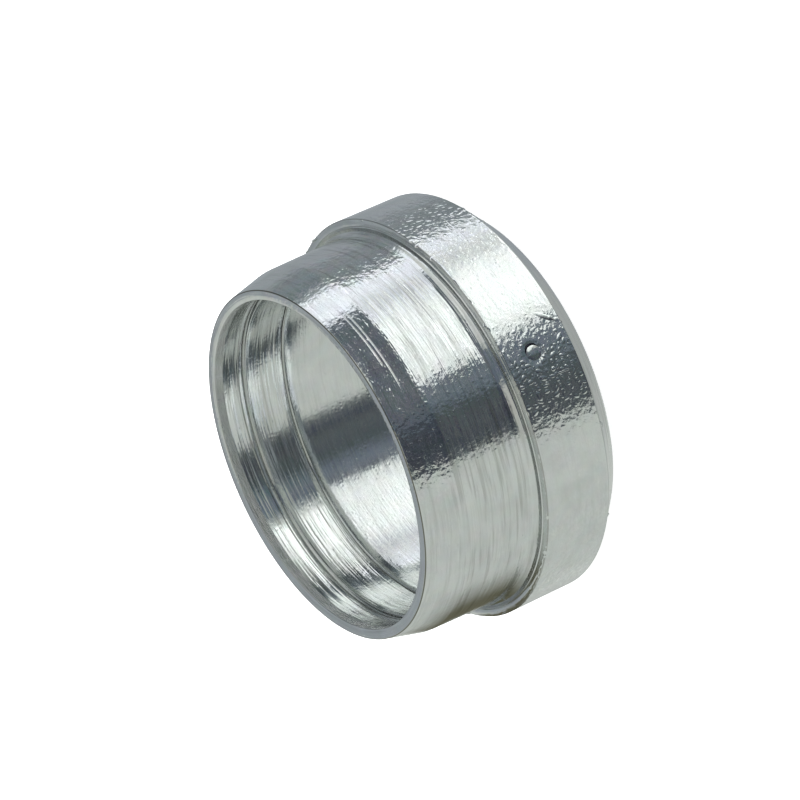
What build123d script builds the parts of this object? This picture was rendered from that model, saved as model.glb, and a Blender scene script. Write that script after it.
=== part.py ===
from build123d import *
import math
import os

# Cutting ring of a metric compression fitting, turned from one bar of steel.
# It stands on its back face with the nose up. +Z is the ring's axis, and the
# origin is the centre of the back face. All sizes are in millimetres.

# Tube that the ring slides on
tube_diameter = 16.0
tube_clearance = 0.10  # on the diameter

# Lengths along the axis
shoulder_depth = 5.85  # from the mouth to the stop face
collar_length = 4.65
first_land_length = 1.39  # from the mouth to the groove
groove_width = 0.36
second_land_length = 2.18  # from the groove to the guiding bore
root_length = 0.57  # concave root in front of the stop face

# Radial sizes
tip_wall = 0.49  # over the guiding bore, at the mouth
barrel_wall = 0.98  # over the guiding bore, behind the nose
barrel_flare = 0.08  # growth of the barrel towards the stop face
root_rise = 0.32
stop_face_width = 0.45  # from the root to the collar's outside
land_relief = 0.06  # a land is this much wider than the bore at its back
edge_relief = 0.025  # and this much wider at its cutting edge
groove_depth = 0.22  # below the second cutting edge

# Back end
back_face_width = 0.40
lead_in = 0.25  # chamfer that the tube enters by
nut_chamfer_angle = 45.0  # seat for the nut, from the axis

# Nose and edges
nose_half_angle = 14.0
nose_blend_radius = 1.5
groove_front_angle = 45.0
root_relief_width = 0.09
root_relief_depth = 0.06
edge_round = 0.06

# Radii that follow
bore_r = (tube_diameter + tube_clearance) / 2
tip_r = bore_r + tip_wall
barrel_r = bore_r + barrel_wall
barrel_back_r = barrel_r + barrel_flare
root_r = barrel_back_r + root_rise
collar_r = root_r + stop_face_width
back_inner_r = bore_r + lead_in
back_outer_r = back_inner_r + back_face_width
cutting_edge_r = bore_r + edge_relief
land_back_r = bore_r + land_relief
groove_r = cutting_edge_r + groove_depth

# Heights over the back face that follow
mouth_z = collar_length + shoulder_depth
shoulder_z = collar_length
root_z = shoulder_z + root_length
nose_z = mouth_z - (barrel_wall - tip_wall) / math.tan(math.radians(nose_half_angle))
nut_chamfer_z = (collar_r - back_outer_r) / math.tan(math.radians(nut_chamfer_angle))
groove_front_z = mouth_z - first_land_length
groove_back_z = groove_front_z - groove_width
land_step_z = groove_back_z - second_land_length
groove_floor_z = groove_front_z - (groove_r - land_back_r) / math.tan(
    math.radians(groove_front_angle)
)


def round_edge(radius, height):
    """The circular edge of the ring that lies nearest to this radius and height."""
    circles = cutting_ring.edges().filter_by(GeomType.CIRCLE)
    return circles.sort_by(
        lambda edge: math.hypot(edge.radius - radius, edge.arc_center.Z - height)
    )[0]


with BuildPart() as cutting_ring:
    # Outside of the ring, from the mouth over the nose, barrel and root to the collar
    with BuildSketch(Plane.XZ):
        with BuildLine():
            mouth = Line((0, mouth_z), (tip_r, mouth_z))
            nose = Line(mouth @ 1, (barrel_r, nose_z))
            barrel = Line(nose @ 1, (barrel_back_r, root_z))
            root = TangentArc(barrel @ 1, (root_r, shoulder_z), tangent=barrel % 1)
            Polyline(
                root @ 1,
                (collar_r, shoulder_z),
                (collar_r, nut_chamfer_z),
                (back_outer_r, 0),
                (0, 0),
                mouth @ 0,
            )
        make_face()
    revolve(axis=Axis.Z)

    # Guiding bore, with the chamfer that the tube enters by
    Hole(bore_r)
    chamfer(round_edge(bore_r, 0), length=lead_in)

    # Two lands behind their cutting edges, with the chip groove between them
    with BuildSketch(Plane.XZ):
        with BuildLine():
            Polyline(
                (0, mouth_z),
                (cutting_edge_r, mouth_z),
                (land_back_r, groove_front_z),
                (groove_r, groove_floor_z),
                (groove_r, groove_back_z),
                (cutting_edge_r, groove_back_z),
                (land_back_r, land_step_z),
                (0, land_step_z),
                close=True,
            )
        make_face()
    revolve(axis=Axis.Z, mode=Mode.SUBTRACT)

    # Fine relief line where the root meets the stop face
    with BuildSketch(Plane.XZ):
        with BuildLine():
            Polyline(
                (root_r, shoulder_z),
                (root_r + root_relief_width, shoulder_z),
                (root_r + root_relief_width / 2, shoulder_z - root_relief_depth),
                close=True,
            )
        make_face()
    revolve(axis=Axis.Z, mode=Mode.SUBTRACT)

    # Blend from the nose to the barrel, and the broken outer edges
    fillet(round_edge(barrel_r, nose_z), radius=nose_blend_radius)
    fillet(round_edge(tip_r, mouth_z), radius=edge_round)
    fillet(round_edge(collar_r, shoulder_z), radius=edge_round)

cutting_ring.part.label = "cutting_ring"

os.makedirs("parts", exist_ok=True)
export_step(cutting_ring.part, "parts/cutting_ring.step")
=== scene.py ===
"""Cutting ring: a turned and zinc plated ring that stands on its back face, with its nose up."""

import math
import random
from typing import NamedTuple

import bpy
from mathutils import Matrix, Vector


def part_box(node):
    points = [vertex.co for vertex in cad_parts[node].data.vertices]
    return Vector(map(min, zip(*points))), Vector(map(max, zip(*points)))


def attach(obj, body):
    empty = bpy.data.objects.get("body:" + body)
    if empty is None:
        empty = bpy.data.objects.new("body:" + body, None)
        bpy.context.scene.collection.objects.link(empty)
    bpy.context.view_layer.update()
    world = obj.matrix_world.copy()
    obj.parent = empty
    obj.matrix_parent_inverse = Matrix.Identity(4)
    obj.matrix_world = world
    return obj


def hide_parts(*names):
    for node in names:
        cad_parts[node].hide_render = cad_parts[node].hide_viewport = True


bl_info = {
    "name": "Cutting Ring",
    "version": (1, 0, 0),
    "blender": (4, 5, 0),
    "location": "View3D > Sidebar > Cutting Ring",
    "description": "Builds a turned cutting ring with its zinc finish, and the stage it stands on",
    "category": "Add Mesh",
}

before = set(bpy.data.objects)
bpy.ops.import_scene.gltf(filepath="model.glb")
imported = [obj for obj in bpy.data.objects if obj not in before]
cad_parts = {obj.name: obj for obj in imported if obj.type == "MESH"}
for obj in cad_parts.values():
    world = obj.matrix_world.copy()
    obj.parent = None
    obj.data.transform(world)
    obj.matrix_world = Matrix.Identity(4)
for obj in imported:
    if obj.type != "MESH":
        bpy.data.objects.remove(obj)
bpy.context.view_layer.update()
NODE = "cutting_ring"
FINISH = "zinc_finish"
BOX_LOW, BOX_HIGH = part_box(NODE)

MM = 0.001
SHARP = 0.015 * MM  # rounding of a cut corner
CRISP = 0.03 * MM  # rounding of a plated corner
FINE_ROUND = 0.04 * MM  # corners under this radius get fewer rows
FINE_TURN, WIDE_TURN = 48, 18  # degrees that each row of a small or larger rounding turns
PATCH_LEVEL, PATCH_SWING = 0.55, 0.45  # roughness of the collar's plating round the ring
BALL_SUNK = 0.8  # share of a blister's ball, over its middle, that lies under the surface
RINGS_PER_SIDE = 0.75  # rings of a blister's ball for each of its sides
HALF = (0.5, 0.5, 0.5)  # middle of a noise colour
ONE = (1.0, 1.0, 1.0)
PICTURE_SIDE = 800  # pixels
SENSOR = 36.0  # camera sensor's width, in millimetres


def length(name, description, default):
    """A size in metres, shown in scene units."""
    return bpy.props.FloatProperty(
        name=name, description=description, default=default, min=0.0,
        subtype="DISTANCE", unit="LENGTH", precision=6,
    )


def angle(name, description, degrees):
    """An angle, given here in degrees."""
    return bpy.props.FloatProperty(
        name=name, description=description, default=math.radians(degrees),
        subtype="ANGLE", unit="ROTATION",
    )


def number(name, description, default):
    """A plain number without a unit."""
    return bpy.props.FloatProperty(name=name, description=description, default=default, precision=4)


def colour(name, description, default):
    """A linear colour of three channels."""
    return bpy.props.FloatVectorProperty(
        name=name, description=description, default=default, size=3,
        min=0.0, max=1.0, subtype="COLOR",
    )


class RingSizes(bpy.types.PropertyGroup):
    """Sizes of the turned section, as the ring was cut"""

    height: length("Height", "From the back face to the mouth", BOX_HIGH.z - BOX_LOW.z)
    collar_radius: length("Collar radius", "Outside of the collar", (BOX_HIGH.x - BOX_LOW.x) / 2)
    bore_radius: length("Bore radius", "Bore that guides the tube", 8.05 * MM)
    shoulder_depth: length("Shoulder depth", "From the mouth to the stop face", 5.85 * MM)
    tip_wall: length("Tip wall", "Wall at the mouth, over the bore", 0.52 * MM)
    barrel_wall: length("Barrel wall", "Wall behind the nose, over the bore", 0.98 * MM)
    barrel_flare: length("Barrel flare", "Growth of the barrel towards the stop face", 0.08 * MM)
    nose_half_angle: angle("Nose half angle", "Slope of the nose", 14.0)
    nose_blend: length("Nose blend", "Radius between nose and barrel", 1.5 * MM)
    root_length: length("Root length", "Concave root in front of the stop face", 0.57 * MM)
    root_rise: length("Root rise", "Height of the concave root", 0.32 * MM)
    relief_width: length("Relief width", "Fine line where the root meets the stop face", 0.09 * MM)
    relief_depth: length("Relief depth", "Depth of that line", 0.06 * MM)
    edge_round: length("Edge rounding", "Broken outer edges", 0.06 * MM)
    tip_round: length("Tip rounding", "Outer edge of the mouth", 0.06 * MM)
    mouth_bevel: length("Mouth bevel", "How far the mouth's face falls towards the bore", 0.05 * MM)
    back_face_width: length("Back face width", "Flat ring that it stands on", 0.40 * MM)
    lead_in: length("Lead-in", "Chamfer that the tube enters by", 0.25 * MM)
    first_land: length("First land", "From the mouth to the groove", 1.39 * MM)
    groove_width: length("Groove width", "Chip groove between the lands", 0.36 * MM)
    second_land: length("Second land", "From the groove to the guiding bore", 2.18 * MM)
    groove_depth: length("Groove depth", "Below the second cutting edge", 0.22 * MM)
    land_relief: length("Land relief", "How much wider the second land is at its back", 0.14 * MM)
    first_relief: length("First relief", "How much wider the first land is at its back", 0.14 * MM)
    edge_relief: length("Edge relief", "How much wider it is at its cutting edge", 0.025 * MM)


class RingFinish(bpy.types.PropertyGroup):
    """How finely the ring is built, and the marks that turning and plating left on it"""

    segments: bpy.props.IntProperty(
        name="Segments", description="Steps round the ring", default=600, min=32, max=720
    )
    outer_step: length("Outer step", "Rows on the nose and barrel", 0.13 * MM)
    collar_step: length("Collar step", "Rows on the blistered collar", 0.10 * MM)
    plain_step: length("Plain step", "Rows on the nut chamfer and back face", 0.20 * MM)
    inner_step: length("Inner step", "Rows in the bore", 0.45 * MM)
    turning_depth: length("Turning depth", "Depth of the turning waves", 0.0035 * MM)
    turning_pitch: length("Turning pitch", "Spacing of the turning waves", 0.50 * MM)
    skin_depth: length("Skin depth", "How far the uneven plating lies under its size", 0.020 * MM)
    skin_size: length("Skin size", "Size of the dips in that plating", 0.30 * MM)
    burr_height: length("Burr height", "Ragged front edge of the collar", 0.03 * MM)
    dip_depth: length("Dip depth", "Dip in the plating that the large bubble stands in", 0.03 * MM)
    dip_radius: length("Dip radius", "From the bubble's middle to the dip's edge", 0.60 * MM)
    bright_zinc: colour("Bright zinc", "Colour of the clean plating", (0.75, 0.77, 0.76))
    dull_zinc: colour("Dull zinc", "Colour of the clouded plating", (0.70, 0.72, 0.71))
    # Painted shade: the dark line painted in corners and on edges. The same colour also darkens the
    # residue in the turning scores.
    tarnish: colour("Painted edge shade and residue", "Dark line in corners and on edges", (0.20, 0.20, 0.17))
    # Painted shade: the near black painted on the dark edges about the largest marks
    pit: colour("Painted shade black", "Near black of the edges about the largest marks", (0.03, 0.03, 0.04))
    roughness: number("Roughness", "Roughness of the plating's shine", 0.12)
    bore_roughness: number("Bore roughness", "How much duller the bore is", 0.02)
    seed: bpy.props.IntProperty(name="Seed", description="Which marks are drawn", default=7)


class BlisterSettings(bpy.types.PropertyGroup):
    """Blisters in the collar's plating"""

    size: length("Size", "Radius of the largest ball", 0.24 * MM)
    gap: length("Gap", "Least distance between two blisters", 0.13 * MM)
    margin: length("Margin", "Bare strip along the collar's edges", 0.10 * MM)
    flatness: number("Flatness", "Height over width of a ball", 0.36)
    wobble: length("Wobble", "How far a blister strays from round", 0.005 * MM)
    patches: number("Patches", "Rough patches round the collar", 6.0)
    patch_azimuth: angle("Patch azimuth", "Middle of the first patch", -93.0)
    tries: bpy.props.IntProperty(name="Tries", description="Places tried", default=12000, min=0)
    seed: bpy.props.IntProperty(name="Seed", description="Which places are drawn", default=11)


class StageSettings(bpy.types.PropertyGroup):
    """Camera, floor and surroundings"""

    elevation: angle("Elevation", "Camera's height over the back face's plane", 27.79)
    roll: angle("Roll", "Camera's roll about its line of sight", -114.15)
    distance: length("Distance", "From the camera to the mouth, in its line of sight", 200.05 * MM)
    focal_length: number("Focal length", "In millimetres", 197.4)
    mouth_x: number("Mouth, across", "Pixels from the picture's left to the mouth's centre", 313.9)
    mouth_y: number("Mouth, down", "Pixels from the picture's top to the mouth's centre", 466.3)
    floor_colour: colour("Floor", "Pale floor", (0.93, 0.93, 0.93))
    floor_glow: number("Floor glow", "Light that lifts the floor to near white", 0.80)
    floor_side: length("Floor side", "Side of the square floor", 4.0)


class Graph:
    """Adds nodes to a tree and links them."""

    def __init__(self, tree):
        self.tree = tree

    def node(self, kind, settings=None, inputs=None):
        made = self.tree.nodes.new(kind)
        for key, value in (settings or {}).items():
            setattr(made, key, value)
        for key, value in (inputs or {}).items():
            self.feed(made.inputs[key], value)
        return made

    def feed(self, socket, value):
        if isinstance(value, bpy.types.NodeSocket):
            self.tree.links.new(value, socket)
        else:
            socket.default_value = value

    def math(self, operation, *values):
        inputs = dict(enumerate(values))
        return self.node("ShaderNodeMath", {"operation": operation}, inputs).outputs[0]

    def vector(self, operation, *values):
        made = self.node("ShaderNodeVectorMath", {"operation": operation}, dict(enumerate(values)))
        plain = operation in ("DOT_PRODUCT", "DISTANCE")
        return made.outputs["Value" if plain else "Vector"]

    def scaled(self, vector, factor):
        inputs = {0: vector, "Scale": factor}
        return self.node("ShaderNodeVectorMath", {"operation": "SCALE"}, inputs).outputs["Vector"]

    def combine(self, x, y, z):
        return self.node("ShaderNodeCombineXYZ", inputs={"X": x, "Y": y, "Z": z}).outputs[0]

    def separate(self, vector):
        return self.node("ShaderNodeSeparateXYZ", inputs={0: vector}).outputs

    def ramp(self, value, low, high, out_low=0.0, out_high=1.0):
        """Eases from out_low to out_high while value goes from low to high."""
        made = self.node("ShaderNodeMapRange", {"interpolation_type": "SMOOTHSTEP"}, {
            "Value": value, "From Min": low, "From Max": high,
            "To Min": out_low, "To Max": out_high,
        })
        return made.outputs["Result"]

    def noise_node(self, vector, scale, detail=2.0, roughness=0.5):
        return self.node("ShaderNodeTexNoise", inputs={
            "Vector": vector, "Scale": scale, "Detail": detail, "Roughness": roughness,
        })

    def noise(self, *settings, **named):
        """Noise as one number."""
        return self.noise_node(*settings, **named).outputs[0]

    def noise_colour(self, *settings, **named):
        """Noise as a colour that strays from its middle."""
        made = self.noise_node(*settings, **named)
        return self.vector("SUBTRACT", made.outputs["Color"], HALF)

    def mix_colour(self, factor, first, second):
        made = self.node("ShaderNodeMix", {"data_type": "RGBA"})
        self.feed(made.inputs["Factor"], factor)
        ends = (socket for socket in made.inputs if socket.type == "RGBA")
        for socket, value in zip(ends, (first, second)):
            self.feed(socket, value)
        return next(socket for socket in made.outputs if socket.type == "RGBA")


def tangent_corner(start, end, direction):
    """The corner and radius of the arc that leaves start along direction and ends at end."""
    chord = end - start
    turn = chord.angle(direction)
    corner = start + direction.normalized() * (chord.length / 2 / math.cos(turn))
    return corner, chord.length / 2 / math.sin(turn)


def back_edges(sizes):
    """Inner and outer radius of the flat ring that it stands on."""
    inner = sizes.bore_radius + sizes.lead_in
    return inner, inner + sizes.back_face_width


class Corner(NamedTuple):
    """A corner of the turned section.

    Its step, pitting, turning and dulling hold up to the next corner, and its burr and edge shade
    on the corner alone.
    The edge shade is painted shade: a dark line painted on the corner's rounding, standing for
    shade and dark reflections.
    """

    radius: float
    height: float
    rounding: float
    step: float
    pitting: float = 0.0
    turning: float = 0.0
    dulling: float = 0.0
    burr: float = 0.0
    tarnish: float = 0.0


def section_corners(sizes, finish):
    """Corners of the section, from the mouth's inner edge down the outside and back up the bore."""
    bore = sizes.bore_radius
    edge = bore + sizes.edge_relief
    land = bore + sizes.land_relief
    first_land = bore + sizes.first_relief
    tip = bore + sizes.tip_wall
    barrel = bore + sizes.barrel_wall
    barrel_back = barrel + sizes.barrel_flare
    root = barrel_back + sizes.root_rise
    relief = sizes.relief_width
    groove = edge + sizes.groove_depth
    back_inner, back_outer = back_edges(sizes)
    collar = sizes.collar_radius

    mouth = sizes.height
    nose = mouth - (barrel - tip) / math.tan(sizes.nose_half_angle)
    shoulder = mouth - sizes.shoulder_depth
    root_top = shoulder + sizes.root_length
    chamfer = collar - back_outer
    groove_front = mouth - sizes.first_land
    groove_back = groove_front - sizes.groove_width
    step = groove_back - sizes.second_land
    sharp, crisp, soft = SHARP, CRISP, sizes.edge_round

    along_barrel = Vector((barrel_back - barrel, root_top - nose))
    root_corner, root_radius = tangent_corner(
        Vector((barrel_back, root_top)), Vector((root, shoulder)), along_barrel
    )
    outer, fine = finish.outer_step, finish.collar_step
    plain, inner = finish.plain_step, finish.inner_step
    # A corner's tarnish paints a dark line of painted shade on its rounding, in the grooves and on
    # the edges
    return [
        Corner(edge, mouth - sizes.mouth_bevel, crisp, plain, turning=0.6, tarnish=0.7),
        Corner(tip, mouth, sizes.tip_round, outer, turning=0.5, tarnish=1.0),
        Corner(barrel, nose, sizes.nose_blend, outer, turning=1.0),
        Corner(root_corner.x, root_corner.y, root_radius, outer, turning=0.6),
        Corner(root, shoulder, sharp, outer, tarnish=0.6),
        Corner(root + relief / 2, shoulder - sizes.relief_depth, sharp, outer, tarnish=1.0),
        Corner(root + relief, shoulder, sharp, outer, turning=0.5),
        Corner(collar, shoulder, soft, fine, pitting=1.0, turning=0.15, burr=1.0, tarnish=0.5),
        Corner(collar, chamfer, soft, plain, pitting=0.15, turning=0.5, tarnish=0.3),
        Corner(back_outer, 0.0, soft, plain, turning=0.5),
        Corner(back_inner, 0.0, sharp, plain, turning=0.3),
        Corner(bore, sizes.lead_in, crisp, inner, turning=0.25, dulling=1.0),
        Corner(bore, step, sharp, inner, dulling=1.0),
        Corner(land, step, crisp, inner, turning=1.0, dulling=1.0, tarnish=1.0),
        Corner(edge, groove_back, crisp, inner, dulling=1.0),
        Corner(groove, groove_back, crisp, inner, turning=0.4, dulling=1.0, tarnish=1.0),
        Corner(
            groove, groove_front - (groove - first_land), crisp, inner,
            turning=0.4, dulling=1.0, tarnish=1.0,
        ),
        Corner(first_land, groove_front, crisp, inner, turning=1.5, dulling=0.8),
    ]


def rounded_corner(before, corner, after, radius):
    """Points of the arc that rounds a corner, from the side of before to the side of after."""
    into, out = (before - corner).normalized(), (after - corner).normalized()
    half = into.angle(out) / 2
    reach = radius / math.tan(half)
    centre = corner + (into + out).normalized() * (radius / math.sin(half))
    start, end = corner + into * reach, corner + out * reach
    turn = math.pi - 2 * half
    each = math.radians(FINE_TURN if radius < FINE_ROUND else WIDE_TURN)
    steps = max(2, round(turn / each))
    spokes = [(start - centre), (end - centre)]
    points = []
    for i in range(steps + 1):
        share = i / steps
        weights = math.sin((1 - share) * turn), math.sin(share * turn)
        points.append(centre + (spokes[0] * weights[0] + spokes[1] * weights[1]) / math.sin(turn))
    return points


class Row(NamedTuple):
    """A row of the turned mesh: its point of the section, and what is stored on it"""

    point: Vector
    pitting: float
    turning: float
    dulling: float
    burr: float = 0.0
    tarnish: float = 0.0


def section_rows(corners):
    """Every row round the section."""
    places = [Vector((corner.radius, corner.height)) for corner in corners]
    count = len(corners)
    arcs = [
        rounded_corner(places[i - 1], places[i], places[(i + 1) % count], corners[i].rounding)
        for i in range(count)
    ]
    rows = []
    for i, (arc, corner) in enumerate(zip(arcs, corners)):
        before = corners[i - 1].pitting, corners[i - 1].turning, corners[i - 1].dulling
        lasting = corner.pitting, corner.turning, corner.dulling
        for j, point in enumerate(arc):
            share = j / (len(arc) - 1)
            blend = [a + (b - a) * share for a, b in zip(before, lasting)]
            on_corner = 0 < share < 1
            rows.append(Row(point, *blend, on_corner * corner.burr, on_corner * corner.tarnish))
        start, end = arc[-1], arcs[(i + 1) % count][0]
        pieces = max(1, round((end - start).length / corner.step))
        rows += [Row(start.lerp(end, k / pieces), *lasting) for k in range(1, pieces)]
    return rows


def section_object(sizes, finish):
    """The closed section as a loop of edges, with each row's place along it and its marks."""
    rows = section_rows(section_corners(sizes, finish))
    path = sizes.bore_radius
    mesh = bpy.data.meshes.new("ring_section")
    count = len(rows)
    mesh.from_pydata(
        [(row.point.x - path, -row.point.y, 0.0) for row in rows],
        [(i, (i + 1) % count) for i in range(count)],
        [],
    )
    run = [0.0]
    for before, after in zip(rows, rows[1:]):
        run.append(run[-1] + (after.point - before.point).length)
    marks = {name: [getattr(row, name) for row in rows] for name in Row._fields[1:]}
    for name, values in {"run": run, **marks}.items():
        mesh.attributes.new(name, "FLOAT", "POINT").data.foreach_set("value", values)
    made = bpy.data.objects.new(NODE + "_finished", mesh)
    bpy.context.scene.collection.objects.link(made)
    return made


def node_group(name, sizes):
    """An empty geometry tree with a geometry in and out and these named number inputs."""
    tree = bpy.data.node_groups.new(name, "GeometryNodeTree")
    tree.interface.new_socket("Geometry", in_out="INPUT", socket_type="NodeSocketGeometry")
    tree.interface.new_socket("Geometry", in_out="OUTPUT", socket_type="NodeSocketGeometry")
    for label, kind in sizes:
        tree.interface.new_socket(label, in_out="INPUT", socket_type="NodeSocket" + kind)
    given, result = tree.nodes.new("NodeGroupInput"), tree.nodes.new("NodeGroupOutput")
    return tree, Graph(tree), given.outputs, result


def attribute(graph, name):
    """A stored number of the piece, inside a geometry tree."""
    made = graph.node("GeometryNodeInputNamedAttribute", {"data_type": "FLOAT"}, {"Name": name})
    return made.outputs["Attribute"]


SEED_SPACING = 3.7  # how far one seed's noise lies from the next one's
WAVES_ROUND = 1.1  # waves' pace round the ring, against their pace along the section
SWELL_SIZE, SWELL_SHARE = 0.4, 0.4  # wide swells of the skin, against its dips
DIP_STARTS, DIP_ENDS, DIP_SHARE = 0.50, 0.30, 0.4  # noise where the skin's dips start and end
DIP_FLOOR = 0.6  # share of the bubble's dip that is flat
NICKS_ROUND = 24.0  # nicks' pace round the collar's edge
NICK_STARTS, NICK_ENDS = 0.50, 0.70  # noise where a nick starts and is deepest


def revolved_ring_tree():
    """Turns a section about Z, then gives it turning waves, an uneven skin, a dip and nicks."""
    tree, graph, given, result = node_group("revolved_ring", [
        ("Path radius", "Float"), ("Segments", "Int"), ("Turning depth", "Float"),
        ("Turning pitch", "Float"), ("Skin depth", "Float"), ("Skin size", "Float"),
        ("Patches", "Float"), ("Patch azimuth", "Float"), ("Dip place", "Vector"),
        ("Dip radius", "Float"), ("Dip depth", "Float"), ("Burr height", "Float"),
        ("Seed", "Int"), ("Material", "Material"),
    ])
    section = graph.node("GeometryNodeMeshToCurve", inputs={"Mesh": given["Geometry"]})
    circle = graph.node("GeometryNodeCurvePrimitiveCircle", inputs={
        "Resolution": given["Segments"], "Radius": given["Path radius"],
    })
    turned = graph.node("GeometryNodeCurveToMesh", inputs={
        "Curve": circle.outputs[0], "Profile Curve": section.outputs[0],
    })

    place = graph.node("GeometryNodeInputPosition").outputs[0]
    x, y, z = graph.separate(place)
    round_about = graph.vector("NORMALIZE", graph.combine(x, y, 0.0))
    drawn = graph.math("MULTIPLY", given["Seed"], SEED_SPACING)

    # Turning waves run round the ring, and fade in and out along their way
    lines = graph.math("DIVIDE", attribute(graph, "run"), given["Turning pitch"])
    waves_at = graph.combine(0.0, drawn, lines)
    waves_at = graph.vector("ADD", graph.scaled(round_about, WAVES_ROUND), waves_at)
    waves = graph.math("SUBTRACT", graph.noise(waves_at, 1.0, detail=1.0), 0.5)
    waves = graph.math("MULTIPLY", waves, given["Turning depth"])
    waves = graph.math("MULTIPLY", waves, attribute(graph, "turning"))

    # The collar's plating lies a little under the collar's size, rough in patches
    turn = graph.math("SUBTRACT", graph.math("ARCTAN2", y, x), given["Patch azimuth"])
    thick = graph.math("COSINE", graph.math("MULTIPLY", turn, given["Patches"]))
    thick = graph.math("MULTIPLY_ADD", thick, PATCH_SWING, PATCH_LEVEL)
    plating = attribute(graph, "pitting")
    pitting = graph.math("MULTIPLY", plating, thick)
    skin_at = graph.vector("DIVIDE", place, given["Skin size"])
    skin_at = graph.vector("ADD", skin_at, graph.combine(drawn, 0.0, 0.0))
    dips = graph.noise(skin_at, 1.0, detail=1.5, roughness=0.45)
    dips = graph.ramp(dips, DIP_STARTS, DIP_ENDS, 0.0, DIP_SHARE)
    swells = graph.math("SUBTRACT", graph.noise(skin_at, SWELL_SIZE, detail=1.0), 0.5)
    skin = graph.math("SUBTRACT", graph.math("MULTIPLY", swells, SWELL_SHARE), dips)
    skin = graph.math("SUBTRACT", graph.math("MULTIPLY", skin, pitting), plating)
    skin = graph.math("MULTIPLY", skin, given["Skin depth"])

    # The large bubble stands in a dip in the plating
    away = graph.vector("DISTANCE", place, given["Dip place"])
    dip = graph.ramp(graph.math("DIVIDE", away, given["Dip radius"]), 1.0, DIP_FLOOR)
    skin = graph.math("SUBTRACT", skin, graph.math("MULTIPLY", dip, given["Dip depth"]))

    # The collar's front edge is ragged, with nicks here and there
    ragged = graph.noise(graph.scaled(round_about, NICKS_ROUND), 1.0, detail=3.0, roughness=0.7)
    nick = graph.ramp(ragged, NICK_STARTS, NICK_ENDS)
    nick = graph.math("MULTIPLY", nick, attribute(graph, "burr"))
    nick = graph.math("MULTIPLY", nick, given["Burr height"])

    # The material reads how rough the plating is at each point
    level = graph.math("DIVIDE", z, MM)
    rough_here = 0.0
    for patch in ROUGH_PATCHES.values():
        rough_here = graph.math("ADD", rough_here, rough_patch(graph, round_about, level, patch))
    kept = turned.outputs[0]
    for_points = {"data_type": "FLOAT", "domain": "POINT"}
    for name, value in (("pitting", pitting), ("rough_here", rough_here)):
        kept = graph.node("GeometryNodeStoreNamedAttribute", for_points, {
            "Geometry": kept, "Name": name, "Value": value,
        }).outputs[0]

    normal = graph.node("GeometryNodeInputNormal").outputs[0]
    raised = graph.math("SUBTRACT", graph.math("ADD", waves, skin), nick)
    shaped = graph.node("GeometryNodeSetPosition", inputs={
        "Geometry": kept, "Offset": graph.scaled(normal, raised),
    })
    smooth = graph.node("GeometryNodeSetShadeSmooth", inputs={"Geometry": shaped.outputs[0]})
    real = graph.node("GeometryNodeRealizeInstances", inputs={"Geometry": smooth.outputs[0]})
    finished = graph.node("GeometryNodeSetMaterial", inputs={
        "Geometry": real.outputs[0], "Material": given["Material"],
    })
    graph.feed(result.inputs[0], finished.outputs[0])
    return tree


def apply_tree(piece, tree, values):
    """Runs a tree on a piece with these named inputs, and keeps the result as a plain mesh."""
    modifier = piece.modifiers.new(tree.name, "NODES")
    modifier.node_group = tree
    for item in tree.interface.items_tree:
        if item.item_type == "SOCKET" and item.in_out == "INPUT" and item.name in values:
            modifier[item.identifier] = values[item.name]
    evaluated = piece.evaluated_get(bpy.context.evaluated_depsgraph_get())
    mesh = bpy.data.meshes.new_from_object(evaluated)
    piece.modifiers.remove(modifier)
    piece.data = mesh
    mesh.name = piece.name
    return piece


def on_collar(azimuth, level, radius):
    """A point at this azimuth and height, on a cylinder about the ring's axis."""
    return Vector((radius * math.cos(azimuth), radius * math.sin(azimuth), level))


class Mark(NamedTuple):
    """A blister or raised scratch: its place, width, length in widths and lean from level.

    Shade paints it near black as painted shade, thin flattens it further, and low sinks it by the
    dip's depth.
    """

    azimuth: float
    level: float
    width: float
    stretch: float
    lean: float
    shade: float = 0.0
    thin: float = 1.0
    low: float = 0.0


def mark(azimuth, level, long, wide, lean=0.0, shade=0.0, thin=1.0, low=0.0):
    """A mark whose azimuth and lean are given in degrees, and its sizes in millimetres."""
    azimuth, lean = math.radians(azimuth), math.radians(lean)
    return Mark(azimuth, level * MM, wide / 2 * MM, long / wide, lean, shade, thin, low)


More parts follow.
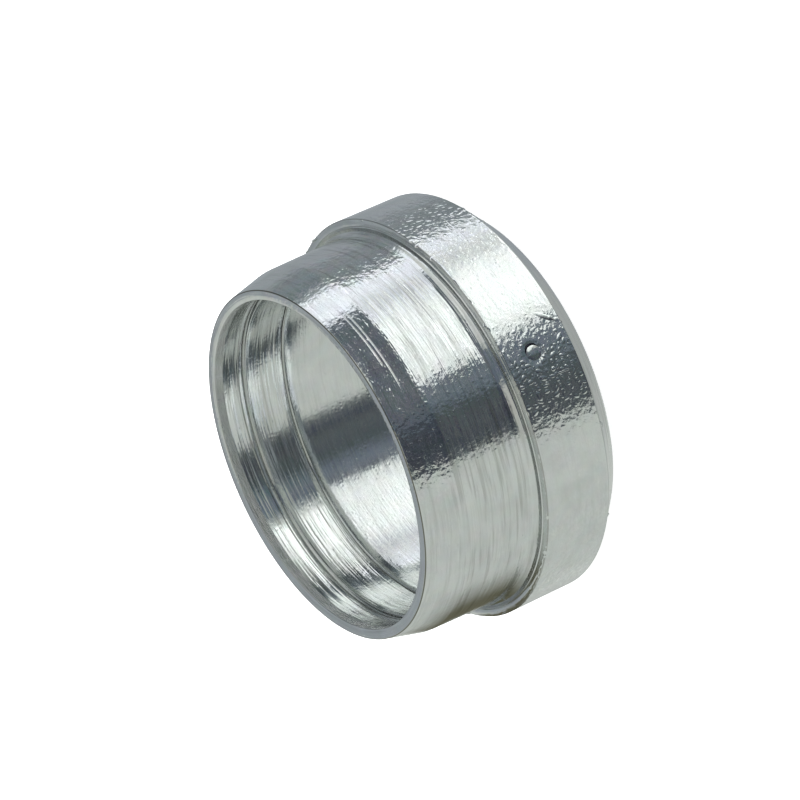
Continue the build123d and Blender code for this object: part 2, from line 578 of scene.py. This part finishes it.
BLISTER_CLEARANCE = 0.6  # share of a mark's ball that no other blister's middle comes into
NARROWEST, COMMONEST = 0.25, 0.4  # radius of the random balls, as shares of the largest
LONGEST, COMMON_STRETCH = 2.4, 1.1  # their length in widths
BUBBLE = mark(-86.1, 3.14, 1.26, 1.32, low=1.0)
MARKS = {
    "large bubble": BUBBLE,
    # Painted shade: the dark edges are flat balls painted near black, beside the bubble
    "bubble's dark edge": mark(-85.5, 3.16, 1.32, 1.38, shade=1.0, thin=0.50, low=1.0),
    "bright gouge": mark(-77.85, 1.94, 1.85, 0.44, 53),
    # Painted shade: the gouge's edges are painted dark on both sides of the bright ridge
    "gouge's lower edge": mark(-78.8, 1.84, 1.85, 0.40, 53, shade=0.7, thin=0.9),
    "gouge's upper edge": mark(-77.1, 1.98, 1.65, 0.26, 53, shade=0.6, thin=0.8),
    "upright scratch": mark(-93.85, 2.05, 1.45, 0.12, 87),
    "level scratch, left": mark(-76.5, 1.33, 0.75, 0.12, 12),
    "level scratch, right": mark(-71.9, 1.33, 0.80, 0.12, -10),
    "twin scratch, upper": mark(-45.0, 2.72, 1.70, 0.12, -3),
    "twin scratch, lower": mark(-44.0, 2.48, 1.90, 0.12, -3),
    "crater, left": mark(-41.9, 1.61, 0.30, 0.22, 20),
    "crater, right": mark(-39.4, 1.62, 0.30, 0.24, -15),
    "nick, upper": mark(-114.3, 2.63, 0.35, 0.10, 70),
    "nick, lower": mark(-113.7, 2.27, 0.30, 0.09, 80),
    "hook's shank": mark(-136.3, 4.03, 0.85, 0.09, 45),
    "hook's bend": mark(-139.1, 3.88, 0.50, 0.09, -37),
}


def blister_marks(sizes, blisters):
    """The named marks, then blisters drawn at random in patches, none too near another."""
    draw = random.Random(blisters.seed)
    radius = sizes.collar_radius
    low = (radius - back_edges(sizes)[1]) + blisters.margin
    high = sizes.height - sizes.shoulder_depth - blisters.margin
    kept = list(MARKS.values())
    for _ in range(blisters.tries):
        azimuth = draw.uniform(-math.pi, math.pi)
        level = draw.uniform(low, high)
        width = blisters.size * draw.triangular(NARROWEST, 1.0, COMMONEST)
        stretch = draw.triangular(1.0, LONGEST, COMMON_STRETCH)
        lean = draw.uniform(0.0, math.pi)
        turn = blisters.patches * (azimuth - blisters.patch_azimuth)
        thick = PATCH_LEVEL + PATCH_SWING * math.cos(turn)
        near = any(
            math.hypot((azimuth - one.azimuth) * radius, level - one.level)
            < blisters.gap + BLISTER_CLEARANCE * one.width
            for one in kept
        )
        if draw.random() < thick and not near:
            kept.append(Mark(azimuth, level, width, stretch, lean))
    return kept


def blister_points(sizes, finish, blisters):
    """Points under the collar, one for each blister and scratch, with what shapes its ball."""
    marks = blister_marks(sizes, blisters)
    mesh = bpy.data.meshes.new("blister_points")
    places = []
    for one in marks:
        under = finish.skin_depth + one.low * finish.dip_depth
        sunk = BALL_SUNK * one.width * one.thin * blisters.flatness
        places.append(on_collar(one.azimuth, one.level, sizes.collar_radius - under - sunk))
    mesh.from_pydata(places, [], [])
    for name in ("width", "stretch", "lean", "shade", "thin"):
        values = [getattr(one, name) for one in marks]
        mesh.attributes.new(name, "FLOAT", "POINT").data.foreach_set("value", values)
    large = [float(place < len(MARKS)) for place in range(len(marks))]
    mesh.attributes.new("large", "FLOAT", "POINT").data.foreach_set("value", large)
    made = bpy.data.objects.new("plating_blisters", mesh)
    bpy.context.scene.collection.objects.link(made)
    return made


SMALL_SIDES, LARGE_SIDES = 8, 32  # sides of a random blister's ball and of a named mark's
STRAY_REACH = 4.0  # brings the noise's spread to the wobble's length
LARGE_CALM = -0.85  # share of the wobble that a named mark loses


def blister_tree():
    """Sets a flattened ball on every point, square to the surface, so that only its cap shows."""
    tree, graph, given, result = node_group("blisters", [
        ("Flatness", "Float"), ("Wobble", "Float"), ("Wobble size", "Float"),
        ("Small sides", "Int"), ("Large sides", "Int"), ("Seed", "Int"), ("Material", "Material"),
    ])
    x, y, _ = graph.separate(graph.node("GeometryNodeInputPosition").outputs[0])
    axes = {"primary_axis": "Z", "secondary_axis": "X"}
    upright = graph.node("FunctionNodeAxesToRotation", axes, {
        "Primary Axis": graph.combine(x, y, 0.0),
        "Secondary Axis": graph.combine(graph.math("MULTIPLY", y, -1.0), x, 0.0),
    })
    leaning = graph.node("FunctionNodeEulerToRotation", inputs={
        0: graph.combine(0.0, 0.0, attribute(graph, "lean")),
    })
    turned = graph.node("FunctionNodeRotateRotation", {"rotation_space": "LOCAL"}, {
        "Rotation": upright.outputs[0], "Rotate By": leaning.outputs[0],
    })
    width = attribute(graph, "width")
    high = graph.math("MULTIPLY", width, attribute(graph, "thin"))
    scale = graph.combine(
        graph.math("MULTIPLY", width, attribute(graph, "stretch")), width,
        graph.math("MULTIPLY", high, given["Flatness"]),
    )
    large = graph.math("GREATER_THAN", attribute(graph, "large"), 0.5)
    small = graph.math("SUBTRACT", 1.0, large)
    joined = graph.node("GeometryNodeJoinGeometry")
    for sides, chosen in ((given["Small sides"], small), (given["Large sides"], large)):
        ball = graph.node("GeometryNodeMeshUVSphere", inputs={
            "Segments": sides, "Radius": 1.0,
            "Rings": graph.math("MULTIPLY", sides, RINGS_PER_SIDE),
        })
        set_out = graph.node("GeometryNodeInstanceOnPoints", inputs={
            "Points": given["Geometry"], "Selection": chosen, "Instance": ball.outputs["Mesh"],
            "Rotation": turned.outputs[0], "Scale": scale,
        })
        tree.links.new(set_out.outputs[0], joined.inputs[0])
    real = graph.node("GeometryNodeRealizeInstances", inputs={"Geometry": joined.outputs[0]})

    # No blister stays quite round
    place = graph.node("GeometryNodeInputPosition").outputs[0]
    place = graph.vector("DIVIDE", place, given["Wobble size"])
    drawn = graph.combine(given["Seed"], 0.0, 0.0)
    stray = graph.noise_colour(graph.vector("ADD", place, drawn), 1.0, detail=1.0)
    calm = graph.math("MULTIPLY_ADD", attribute(graph, "large"), LARGE_CALM, 1.0)
    reach = graph.math("MULTIPLY", graph.math("MULTIPLY", given["Wobble"], STRAY_REACH), calm)
    shaped = graph.node("GeometryNodeSetPosition", inputs={
        "Geometry": real.outputs[0], "Offset": graph.scaled(stray, reach),
    })
    smooth = graph.node("GeometryNodeSetShadeSmooth", inputs={"Geometry": shaped.outputs[0]})
    finished = graph.node("GeometryNodeSetMaterial", inputs={
        "Geometry": smooth.outputs[0], "Material": given["Material"],
    })
    graph.feed(result.inputs[0], finished.outputs[0])
    return tree


def new_material(name):
    """An empty material with a Principled shader, as (material, graph, shader)."""
    material = bpy.data.materials.new(name)
    material.use_nodes = True
    material.node_tree.nodes.clear()
    graph = Graph(material.node_tree)
    shader = graph.node("ShaderNodeBsdfPrincipled")
    graph.node("ShaderNodeOutputMaterial", inputs={"Surface": shader.outputs[0]})
    return material, graph, shader


def stored(graph, name):
    """A stored number of the piece, inside a material."""
    return graph.node("ShaderNodeAttribute", {"attribute_name": name}).outputs["Fac"]


class TurningLine(NamedTuple):
    """A deeper line of the turning tool, in millimetres and degrees, with its reach to each side"""

    height: float
    azimuth: float
    reach: float
    width: float
    depth: float


class RoughPatch(NamedTuple):
    """A patch of rougher plating, in millimetres and degrees, with its reach to each side"""

    height: float
    azimuth: float
    reach: float
    rise: float
    strength: float


ROUGH_PATCHES = {
    "nose": RoughPatch(9.6, -82.0, 38.0, 1.0, 0.55),
    "nose, right": RoughPatch(9.6, -28.0, 14.0, 1.0, 0.4),
    "barrel, left of the highlight": RoughPatch(6.8, -92.0, 17.0, 2.0, 0.3),
    "barrel, right of the highlight": RoughPatch(6.9, -32.0, 14.0, 2.0, 0.9),
}
TURNING_LINES = {
    "nose, upper": TurningLine(9.53, -60.0, 13.0, 0.045, 0.007),
    "nose, lower": TurningLine(9.34, -65.0, 18.0, 0.045, 0.007),
    "barrel, first": TurningLine(8.05, -55.0, 22.0, 0.035, 0.003),
    "barrel, second": TurningLine(7.68, -72.0, 20.0, 0.045, 0.003),
    "barrel, third": TurningLine(7.14, -92.0, 26.0, 0.035, 0.004),
    "barrel, strong": TurningLine(6.29, -70.0, 30.0, 0.035, 0.005),
    "barrel, last": TurningLine(5.64, -60.0, 30.0, 0.035, 0.003),
}


FULL_WITHIN = 0.6  # share of its reach in which a line or patch is at its fullest
PATCH_EDGE, PATCH_FULL = 1.1, 0.8  # shares of a patch's rise where it ends and is at its fullest


def within_reach(graph, round_about, azimuth, reach, most):
    """Eases from 0 to most within reach of an azimuth, both in degrees."""
    azimuth, reach = math.radians(azimuth), math.radians(reach)
    ahead = (math.cos(azimuth), math.sin(azimuth), 0.0)
    facing = graph.vector("DOT_PRODUCT", round_about, ahead)
    return graph.ramp(facing, math.cos(reach), math.cos(reach * FULL_WITHIN), 0.0, most)


def turning_line(graph, round_about, z, line):
    """How deep one turning line is here, in millimetres."""
    across = graph.math("ABSOLUTE", graph.math("SUBTRACT", z, line.height))
    within = within_reach(graph, round_about, line.azimuth, line.reach, line.depth)
    return graph.math("MULTIPLY", graph.ramp(across, line.width, 0.0), within)


def rough_patch(graph, round_about, z, patch):
    """How rough one patch is here."""
    across = graph.math("ABSOLUTE", graph.math("SUBTRACT", z, patch.height))
    within = within_reach(graph, round_about, patch.azimuth, patch.reach, patch.strength)
    near = graph.ramp(across, patch.rise * PATCH_EDGE, patch.rise * PATCH_FULL)
    return graph.math("MULTIPLY", near, within)


class Lines(NamedTuple):
    """Marks that run round the ring: their pace round it, their pace across, and a shift"""

    pace: float
    fineness: float
    shift: float


SCORES, BRUSH, STREAKS = Lines(0.06, 3.0, 3.0), Lines(0.4, 7.0, 11.0), Lines(0.30, 5.0, 5.0)
CLOUD_SCALE, HUE_SCALE, SPECK_SCALE, GRAIN_SCALE = 0.9, 1.6, 4.0, 5.0  # per millimetre
CLOUD_STARTS, CLOUD_ENDS = 0.35, 0.7  # noise where the clouded plating starts and ends
GRAIN_EDGE, GRAIN_TOP = 0.55, 0.05  # distances at which a grain starts and is highest
RESIDUE_STARTS, RESIDUE_ENDS, RESIDUE = 0.52, 0.72, 0.14  # dark left in the scores
STREAK_STARTS, STREAK_ENDS, STREAK = 0.48, 0.70, 0.30  # darker streaks of the turned faces
HUE_PATCH, HUE_PLAIN = 0.12, 0.08  # stray colour in the rough patches, and everywhere
BRUSH_STARTS, BRUSH_ENDS = 0.3, 0.7  # noise where the plating is shiniest and dullest
SHINIER, DULLER = 0.03, 0.04  # how far the roughness goes below and over its middle
SCORE_DEPTH, BRUSH_DEPTH = 0.020, 0.015  # millimetres, as are the next two lines
SPECK_PATCH, SPECK_COLLAR, SPECK_PLAIN = 0.032, 0.026, 0.004
GRAIN_PATCH, GRAIN_PLAIN = 0.006, 0.003


def zinc_plated_steel(finish):
    """Bright zinc on turned steel: scores and brush marks round the ring, and a grainy skin."""
    material, graph, shader = new_material(FINISH)
    place = graph.scaled(graph.node("ShaderNodeTexCoord").outputs["Object"], 1 / MM)
    x, y, z = graph.separate(place)
    flat = graph.combine(x, y, 0.0)
    run = graph.math("MULTIPLY", stored(graph, "run"), 1 / MM)
    turning, pitting, dulling = (stored(graph, name) for name in ("turning", "pitting", "dulling"))

    def along(lines):
        """Coordinates for marks that run round the ring."""
        across = graph.combine(lines.shift, 0.0, graph.math("MULTIPLY", run, lines.fineness))
        return graph.vector("ADD", graph.scaled(flat, lines.pace), across)

    round_about = graph.vector("NORMALIZE", flat)
    rough_here = stored(graph, "rough_here")

    clouds = graph.noise(place, CLOUD_SCALE)
    scores = graph.noise(along(SCORES), 1.0, roughness=0.6)
    brush = graph.noise(along(BRUSH), 1.0, detail=1.0, roughness=0.6)
    streaks = graph.noise(along(STREAKS), 1.0, roughness=0.6)
    specks = graph.noise(place, SPECK_SCALE)
    grains = graph.node("ShaderNodeTexVoronoi", inputs={"Vector": place, "Scale": GRAIN_SCALE})
    grain = graph.math("POWER", graph.separate(grains.outputs["Color"])[0], 2.0)
    grain_top = graph.ramp(grains.outputs["Distance"], GRAIN_EDGE, GRAIN_TOP)
    grain = graph.math("MULTIPLY", grain, grain_top)

    clouded = graph.ramp(clouds, CLOUD_STARTS, CLOUD_ENDS)
    base = graph.mix_colour(clouded, (*finish.bright_zinc, 1.0), (*finish.dull_zinc, 1.0))
    hue = graph.noise_colour(place, HUE_SCALE, detail=1.0)
    hue = graph.scaled(hue, graph.math("MULTIPLY_ADD", rough_here, HUE_PATCH, HUE_PLAIN))
    base = graph.vector("MULTIPLY", base, graph.vector("ADD", hue, ONE))
    residue = graph.ramp(scores, RESIDUE_STARTS, RESIDUE_ENDS, 0.0, RESIDUE)
    streaks_dark = graph.ramp(streaks, STREAK_STARTS, STREAK_ENDS)
    streaked = graph.math("MULTIPLY_ADD", streaks_dark, STREAK, residue)
    # Residue in the scores is the plating's own tone. On corners and edges the dark colour is
    # painted shade.
    streaks_and_edge_shade = graph.math("MULTIPLY", streaked, graph.math("MINIMUM", turning, 1.0))
    streaks_and_edge_shade = graph.math("MAXIMUM", streaks_and_edge_shade, stored(graph, "tarnish"))
    base = graph.mix_colour(streaks_and_edge_shade, base, (*finish.tarnish, 1.0))
    # Painted shade: near black painted on the dark edges about the largest marks
    base = graph.mix_colour(stored(graph, "shade"), base, (*finish.pit, 1.0))
    graph.feed(shader.inputs["Base Color"], base)
    shader.inputs["Metallic"].default_value = 1.0

    shiniest, dullest = finish.roughness - SHINIER, finish.roughness + DULLER
    rough = graph.ramp(brush, BRUSH_STARTS, BRUSH_ENDS, shiniest, dullest)
    rough = graph.math("MULTIPLY_ADD", dulling, finish.bore_roughness, rough)
    graph.feed(shader.inputs["Roughness"], rough)

    height = graph.math("MULTIPLY", brush, BRUSH_DEPTH)
    height = graph.math("MULTIPLY_ADD", scores, SCORE_DEPTH, height)
    height = graph.math("MULTIPLY", height, turning)
    skin = graph.math("MULTIPLY_ADD", pitting, SPECK_COLLAR, SPECK_PLAIN)
    skin = graph.math("MULTIPLY_ADD", rough_here, SPECK_PATCH, skin)
    height = graph.math("MULTIPLY_ADD", specks, skin, height)
    grainy = graph.math("MULTIPLY_ADD", rough_here, GRAIN_PATCH, GRAIN_PLAIN)
    height = graph.math("MULTIPLY_ADD", grain, grainy, height)
    for line in TURNING_LINES.values():
        height = graph.math("SUBTRACT", height, turning_line(graph, round_about, z, line))
    bump = graph.node("ShaderNodeBump", inputs={
        "Strength": 1.0, "Distance": 1.0, "Height": graph.math("MULTIPLY", height, MM),
    })
    graph.feed(shader.inputs["Normal"], bump.outputs["Normal"])
    return material


class RING_OT_cutting_ring(bpy.types.Operator):
    """Turn the ring from its section and plate it"""

    bl_idname = "ring.cutting_ring"
    bl_label = "Turn the Ring"

    def execute(self, context):
        sizes, finish = context.scene.ring_sizes, context.scene.ring_finish
        blisters = context.scene.ring_blisters
        piece = section_object(sizes, finish)
        apply_tree(piece, revolved_ring_tree(), {
            "Path radius": sizes.bore_radius,
            "Segments": finish.segments,
            "Turning depth": finish.turning_depth,
            "Turning pitch": finish.turning_pitch,
            "Skin depth": finish.skin_depth,
            "Skin size": finish.skin_size,
            "Patches": blisters.patches,
            "Patch azimuth": blisters.patch_azimuth,
            "Dip place": on_collar(BUBBLE.azimuth, BUBBLE.level, sizes.collar_radius),
            "Dip radius": finish.dip_radius,
            "Dip depth": finish.dip_depth,
            "Burr height": finish.burr_height,
            "Seed": finish.seed,
            "Material": zinc_plated_steel(finish),
        })
        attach(piece, "root")
        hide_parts(NODE)
        return {"FINISHED"}


class RING_OT_blisters(bpy.types.Operator):
    """Raise the blisters in the collar's plating"""

    bl_idname = "ring.blisters"
    bl_label = "Raise the Blisters"

    def execute(self, context):
        scene = context.scene
        blisters = scene.ring_blisters
        piece = blister_points(scene.ring_sizes, scene.ring_finish, blisters)
        apply_tree(piece, blister_tree(), {
            "Flatness": blisters.flatness,
            "Wobble": blisters.wobble,
            "Wobble size": blisters.size,
            "Small sides": SMALL_SIDES,
            "Large sides": LARGE_SIDES,
            "Seed": blisters.seed,
            "Material": bpy.data.materials[FINISH],
        })
        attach(piece, "root")
        return {"FINISHED"}


class Panel(NamedTuple):
    """A soft-edged field of the surroundings, with its place and half sizes in degrees"""

    azimuth: float
    elevation: float
    half_width: float
    half_height: float
    soft: float
    lean: float
    taper: float
    tint: tuple


ROOM_TINT = (0.60, 0.63, 0.60)
PANELS = {
    "grey wall": Panel(52, 0, 42, 95, 3, 0, 0, (0.350, 0.380, 0.405)),
    "wall's shaded end": Panel(26, 0, 16, 95, 6, 0, 0, (0.25, 0.28, 0.30)),
    "shaded ground": Panel(180, -68, 180, 16, 8, 0, 0, (0.43, 0.45, 0.44)),
    "upper window": Panel(-26, 43, 34, 32, 9, 0, 0, (0.76, 0.78, 0.77)),
    "black flag": Panel(-104, 0, 16, 95, 2.5, 0, 0, (0.060, 0.070, 0.088)),
    "flag's lower part": Panel(-104, -34, 16, 16, 4, 0, 0, (0.098, 0.113, 0.122)),
    "light over the flag": Panel(-98, 54, 26, 38, 8, 0, 0, (0.60, 0.61, 0.57)),
    "flag's border": Panel(-79, 0, 12, 95, 2.5, 0, 0, (0.155, 0.185, 0.22)),
    "gap under the window": Panel(-52, -2, 39, 10, 2.5, 0, 0, (0.13, 0.15, 0.175)),
    "long softbox": Panel(-32, -25, 41, 13, 1.5, 0.2, 1.3, (1.12, 1.17, 1.15)),
    "softbox's violet end": Panel(-10, -30, 16, 18, 3, 0.2, 0, (1.24, 1.28, 1.38)),
    "softbox's lower half": Panel(-31, -41, 29, 14, 1.5, 0.2, 0.6, (1.42, 1.47, 1.45)),
    "short softbox": Panel(-3, 0, 11.5, 13, 3, 0, 0, (1.12, 1.16, 1.24)),
}
TAPER_FROM = 3  # degrees under a panel's middle from which it narrows


def studio_panel(graph, sky, flat, lift, panel):
    """Mixes one panel into the sky. flat is the level part of the direction, lift its height."""
    azimuth = math.radians(panel.azimuth)
    ahead = graph.vector("DOT_PRODUCT", flat, (math.cos(azimuth), math.sin(azimuth), 0.0))
    aside = graph.vector("DOT_PRODUCT", flat, (-math.sin(azimuth), math.cos(azimuth), 0.0))
    across = graph.math("ARCTAN2", aside, ahead)
    up = graph.math("SUBTRACT", lift, math.radians(panel.elevation))
    across = graph.math("MULTIPLY_ADD", up, panel.lean, across)
    lower = graph.math("MINIMUM", graph.math("ADD", up, math.radians(TAPER_FROM)), 0.0)
    narrowed = graph.math("MULTIPLY_ADD", lower, -panel.taper, graph.math("ABSOLUTE", across))

    def within(value, half):
        """1 inside the panel and 0 outside, eased over its soft edge."""
        return graph.ramp(value, math.radians(half + panel.soft), math.radians(half - panel.soft))

    inside = graph.math(
        "MULTIPLY",
        within(narrowed, panel.half_width),
        within(graph.math("ABSOLUTE", up), panel.half_height),
    )
    return graph.mix_colour(inside, sky, (*panel.tint, 1.0))


CLUTTER_SCALE, CLUTTER_HUE = 9.0, 0.3  # clutter in the room, and the colour's share of it
DARK, LIT = 0.16, 0.40  # brightness of the room's dark and lit parts
DARK_CLUTTER, LIT_CLUTTER = 3.0, 0.15
BAND_PACE = (2.0, 2.0, 26.0)  # bands' pace round the room and upwards
DIM, BRIGHT = 0.55, 0.95  # brightness under which bands are faint, and over which they are strong
FAINT_BANDS, STRONG_BANDS = 0.5, 2.6
LEAST_LIGHT = (0.25, 0.25, 0.25)  # share of its light that every part of the room keeps


def studio_world():
    """Surroundings that the metal mirrors: pale room, softboxes, a black flag and dark gaps."""
    world = bpy.data.worlds.new("studio")
    world.use_nodes = True
    world.node_tree.nodes.clear()
    graph = Graph(world.node_tree)
    toward = graph.vector("NORMALIZE", graph.node("ShaderNodeTexCoord").outputs["Generated"])
    x, y, z = graph.separate(toward)
    flat = graph.vector("NORMALIZE", graph.combine(x, y, 0.0))
    lift = graph.math("ARCSINE", z)
    sky = (*ROOM_TINT, 1.0)
    for panel in PANELS.values():
        sky = studio_panel(graph, sky, flat, lift, panel)
    level = graph.node("ShaderNodeRGBToBW", inputs={0: sky}).outputs[0]

    # Clutter in the dark parts of the room, and level bands that show up the turning marks
    clutter = graph.noise_node(toward, CLUTTER_SCALE, detail=3.0, roughness=0.6)
    spread = graph.vector("SUBTRACT", clutter.outputs["Color"], HALF)
    spread = graph.scaled(spread, CLUTTER_HUE)
    even = graph.math("SUBTRACT", clutter.outputs[0], 0.5)
    even = graph.scaled(graph.combine(even, even, even), 1 - CLUTTER_HUE)
    spread = graph.vector("ADD", spread, even)
    spread = graph.scaled(spread, graph.ramp(level, DARK, LIT, DARK_CLUTTER, LIT_CLUTTER))
    bands_at = graph.vector("MULTIPLY", graph.combine(x, y, lift), BAND_PACE)
    bands = graph.math("SUBTRACT", graph.noise(bands_at, 1.0, detail=1.0), 0.5)
    banding = graph.ramp(level, DIM, BRIGHT, FAINT_BANDS, STRONG_BANDS)
    bands = graph.math("MULTIPLY_ADD", bands, banding, 1.0)
    factor = graph.vector("ADD", spread, graph.combine(bands, bands, bands))
    sky = graph.vector("MULTIPLY", sky, graph.vector("MAXIMUM", factor, LEAST_LIGHT))
    light = graph.node("ShaderNodeBackground", inputs={"Color": sky, "Strength": 1.0})
    graph.node("ShaderNodeOutputWorld", inputs={"Surface": light.outputs[0]})
    return world


FLOOR_GRAIN = 40.0  # per metre
GRAIN_LEAST = 0.985  # least share of the floor's own colour
FLOOR_GREY = (0.90, 0.90, 0.90, 1.0)


def floor_material(stage):
    """Matt pale floor with a little glow, so that its shadows stay faint."""
    material, graph, shader = new_material("pale_floor")
    place = graph.node("ShaderNodeTexCoord").outputs["Object"]
    grain = graph.ramp(graph.noise(place, FLOOR_GRAIN, detail=3.0), 0.3, 0.7, GRAIN_LEAST, 1.0)
    tint = graph.mix_colour(grain, FLOOR_GREY, (*stage.floor_colour, 1.0))
    graph.feed(shader.inputs["Base Color"], tint)
    shader.inputs["Roughness"].default_value = 0.9
    shader.inputs["Specular IOR Level"].default_value = 0.1
    graph.feed(shader.inputs["Emission Color"], tint)
    shader.inputs["Emission Strength"].default_value = stage.floor_glow
    return material


def make_floor(stage):
    """Square floor under the ring. It lights nothing and the metal doesn't mirror it."""
    half = stage.floor_side / 2
    mesh = bpy.data.meshes.new("floor")
    corners = [(-half, -half, 0), (half, -half, 0), (half, half, 0), (-half, half, 0)]
    mesh.from_pydata(corners, [], [(0, 1, 2, 3)])
    mesh.materials.append(floor_material(stage))
    floor = bpy.data.objects.new("floor", mesh)
    bpy.context.scene.collection.objects.link(floor)
    floor.visible_glossy = False


# Colour of the painted shade on the card beside the barrel
PAINTED_SHADE_OLIVE = (0.13, 0.127, 0.088, 1.0)
CARD_GAP = 0.07 * MM  # from the collar to the card
CARD_LOW, CARD_FADES, CARD_HIGH = 4.2, 7.5, 9.5  # millimetres over the back face
CARD_ENDS = (-5.0, -4.2, -0.5, 1.5, 6.0)  # edge, fade and full shade along Y, in millimetres


def painted_shade_card_material():
    """Painted shade in dark olive, see-through towards the card's edges."""
    material = bpy.data.materials.new("olive_card")
    material.use_nodes = True
    material.node_tree.nodes.clear()
    graph = Graph(material.node_tree)
    place = graph.scaled(graph.node("ShaderNodeTexCoord").outputs["Object"], 1 / MM)
    _, y, z = graph.separate(place)
    _, clear_until, full_from, full_until, clear_from = CARD_ENDS
    front, back = graph.ramp(y, clear_until, full_from), graph.ramp(y, clear_from, full_until)
    shade = graph.math("MULTIPLY", front, back)
    shade = graph.math("MULTIPLY", shade, graph.ramp(z, CARD_HIGH, CARD_FADES))
    dark = graph.node("ShaderNodeEmission", inputs={"Color": PAINTED_SHADE_OLIVE, "Strength": 1.0})
    clear = graph.node("ShaderNodeBsdfTransparent")
    mixed = graph.node("ShaderNodeMixShader", inputs={
        0: shade, 1: clear.outputs[0], 2: dark.outputs[0],
    })
    graph.node("ShaderNodeOutputMaterial", inputs={"Surface": mixed.outputs[0]})
    return material


def make_painted_shade_card(sizes):
    """Card beside the barrel, which only the metal mirrors. It is a sheet of painted shade, which
    the barrel mirrors as the shade on a surface nearby.
    """
    aside = -sizes.collar_radius - CARD_GAP
    low, high = CARD_LOW * MM, CARD_HIGH * MM
    front, back = CARD_ENDS[0] * MM, CARD_ENDS[-1] * MM
    mesh = bpy.data.meshes.new("olive_card")
    mesh.from_pydata([
        (aside, front, low), (aside, back, low), (aside, back, high), (aside, front, high),
    ], [], [(0, 1, 2, 3)])
    mesh.materials.append(painted_shade_card_material())
    card = bpy.data.objects.new("olive_card", mesh)
    bpy.context.scene.collection.objects.link(card)
    card.visible_camera = False
    card.visible_diffuse = False
    card.visible_shadow = False


NEAR_CLIP, FAR_CLIP = 0.01, 10.0


def make_camera(stage, sizes):
    """Camera at the photograph's angle, rolled so that the nose points down to the left."""
    lift = stage.elevation
    back = Vector((0.0, -math.cos(lift), math.sin(lift)))
    right, up = Vector((1.0, 0.0, 0.0)), Vector((0.0, math.sin(lift), math.cos(lift)))
    roll = stage.roll
    right, up = (
        right * math.cos(roll) + up * math.sin(roll),
        up * math.cos(roll) - right * math.sin(roll),
    )
    data = bpy.data.cameras.new("camera")
    data.sensor_width = SENSOR
    data.lens = stage.focal_length
    data.clip_start, data.clip_end = NEAR_CLIP, FAR_CLIP
    camera = bpy.data.objects.new("camera", data)
    bpy.context.scene.collection.objects.link(camera)
    pixel = stage.distance * SENSOR / PICTURE_SIDE / stage.focal_length
    camera.location = (
        Vector((0.0, 0.0, sizes.height))
        + back * stage.distance
        - right * (stage.mouth_x - PICTURE_SIDE / 2) * pixel
        + up * (stage.mouth_y - PICTURE_SIDE / 2) * pixel
    )
    camera.rotation_mode = "QUATERNION"
    camera.rotation_quaternion = (-back).to_track_quat("-Z", "Y")
    turned = camera.rotation_quaternion.to_matrix()
    turned.col[0], turned.col[1], turned.col[2] = right, up, back
    camera.rotation_quaternion = turned.to_quaternion()
    bpy.context.scene.camera = camera


LIGHT_PLACE = (0.1, 0.05, 0.5)
LIGHT_SIDE = 0.5
LIGHT_POWER = 3.0  # watts


def make_light(name, place, side, watts):
    """Soft square light that looks at the ring. The metal mirrors only the surroundings."""
    data = bpy.data.lights.new(name, "AREA")
    data.shape, data.size, data.energy = "SQUARE", side, watts
    light = bpy.data.objects.new(name, data)
    light.location = place
    light.rotation_euler = Vector(place).to_track_quat("Z", "Y").to_euler()
    light.visible_glossy = False
    bpy.context.scene.collection.objects.link(light)


class RING_OT_stage(bpy.types.Operator):
    """Lay the floor, set the lights and place the camera"""

    bl_idname = "ring.stage"
    bl_label = "Set the Stage"

    def execute(self, context):
        scene = context.scene
        make_floor(scene.ring_stage)
        # A sheet of painted shade that only the barrel mirrors
        make_painted_shade_card(scene.ring_sizes)
        make_camera(scene.ring_stage, scene.ring_sizes)
        make_light("overhead", LIGHT_PLACE, LIGHT_SIDE, LIGHT_POWER)
        scene.world = studio_world()
        scene.view_settings.view_transform = "Standard"
        return {"FINISHED"}


class RING_PT_panel(bpy.types.Panel):
    """Steps that build the ring"""

    bl_label = "Cutting Ring"
    bl_idname = "RING_PT_panel"
    bl_space_type = "VIEW_3D"
    bl_region_type = "UI"
    bl_category = "Cutting Ring"

    def draw(self, context):
        layout = self.layout
        for operator in OPERATORS:
            layout.operator(operator.bl_idname)
        for name, group in SETTINGS.items():
            box = layout.box()
            box.label(text=group.__doc__)
            for field in group.__annotations__:
                box.prop(getattr(context.scene, name), field)


OPERATORS = (RING_OT_cutting_ring, RING_OT_blisters, RING_OT_stage)
SETTINGS = {
    "ring_sizes": RingSizes,
    "ring_finish": RingFinish,
    "ring_blisters": BlisterSettings,
    "ring_stage": StageSettings,
}


def register():
    for group in (*SETTINGS.values(), *OPERATORS, RING_PT_panel):
        bpy.utils.register_class(group)
    for name, group in SETTINGS.items():
        setattr(bpy.types.Scene, name, bpy.props.PointerProperty(type=group))


def unregister():
    for name in SETTINGS:
        delattr(bpy.types.Scene, name)
    for group in reversed((*SETTINGS.values(), *OPERATORS, RING_PT_panel)):
        bpy.utils.unregister_class(group)


def main():
    register()
    bpy.ops.ring.cutting_ring()
    bpy.ops.ring.blisters()
    bpy.ops.ring.stage()


if __name__ == "__main__":
    main()
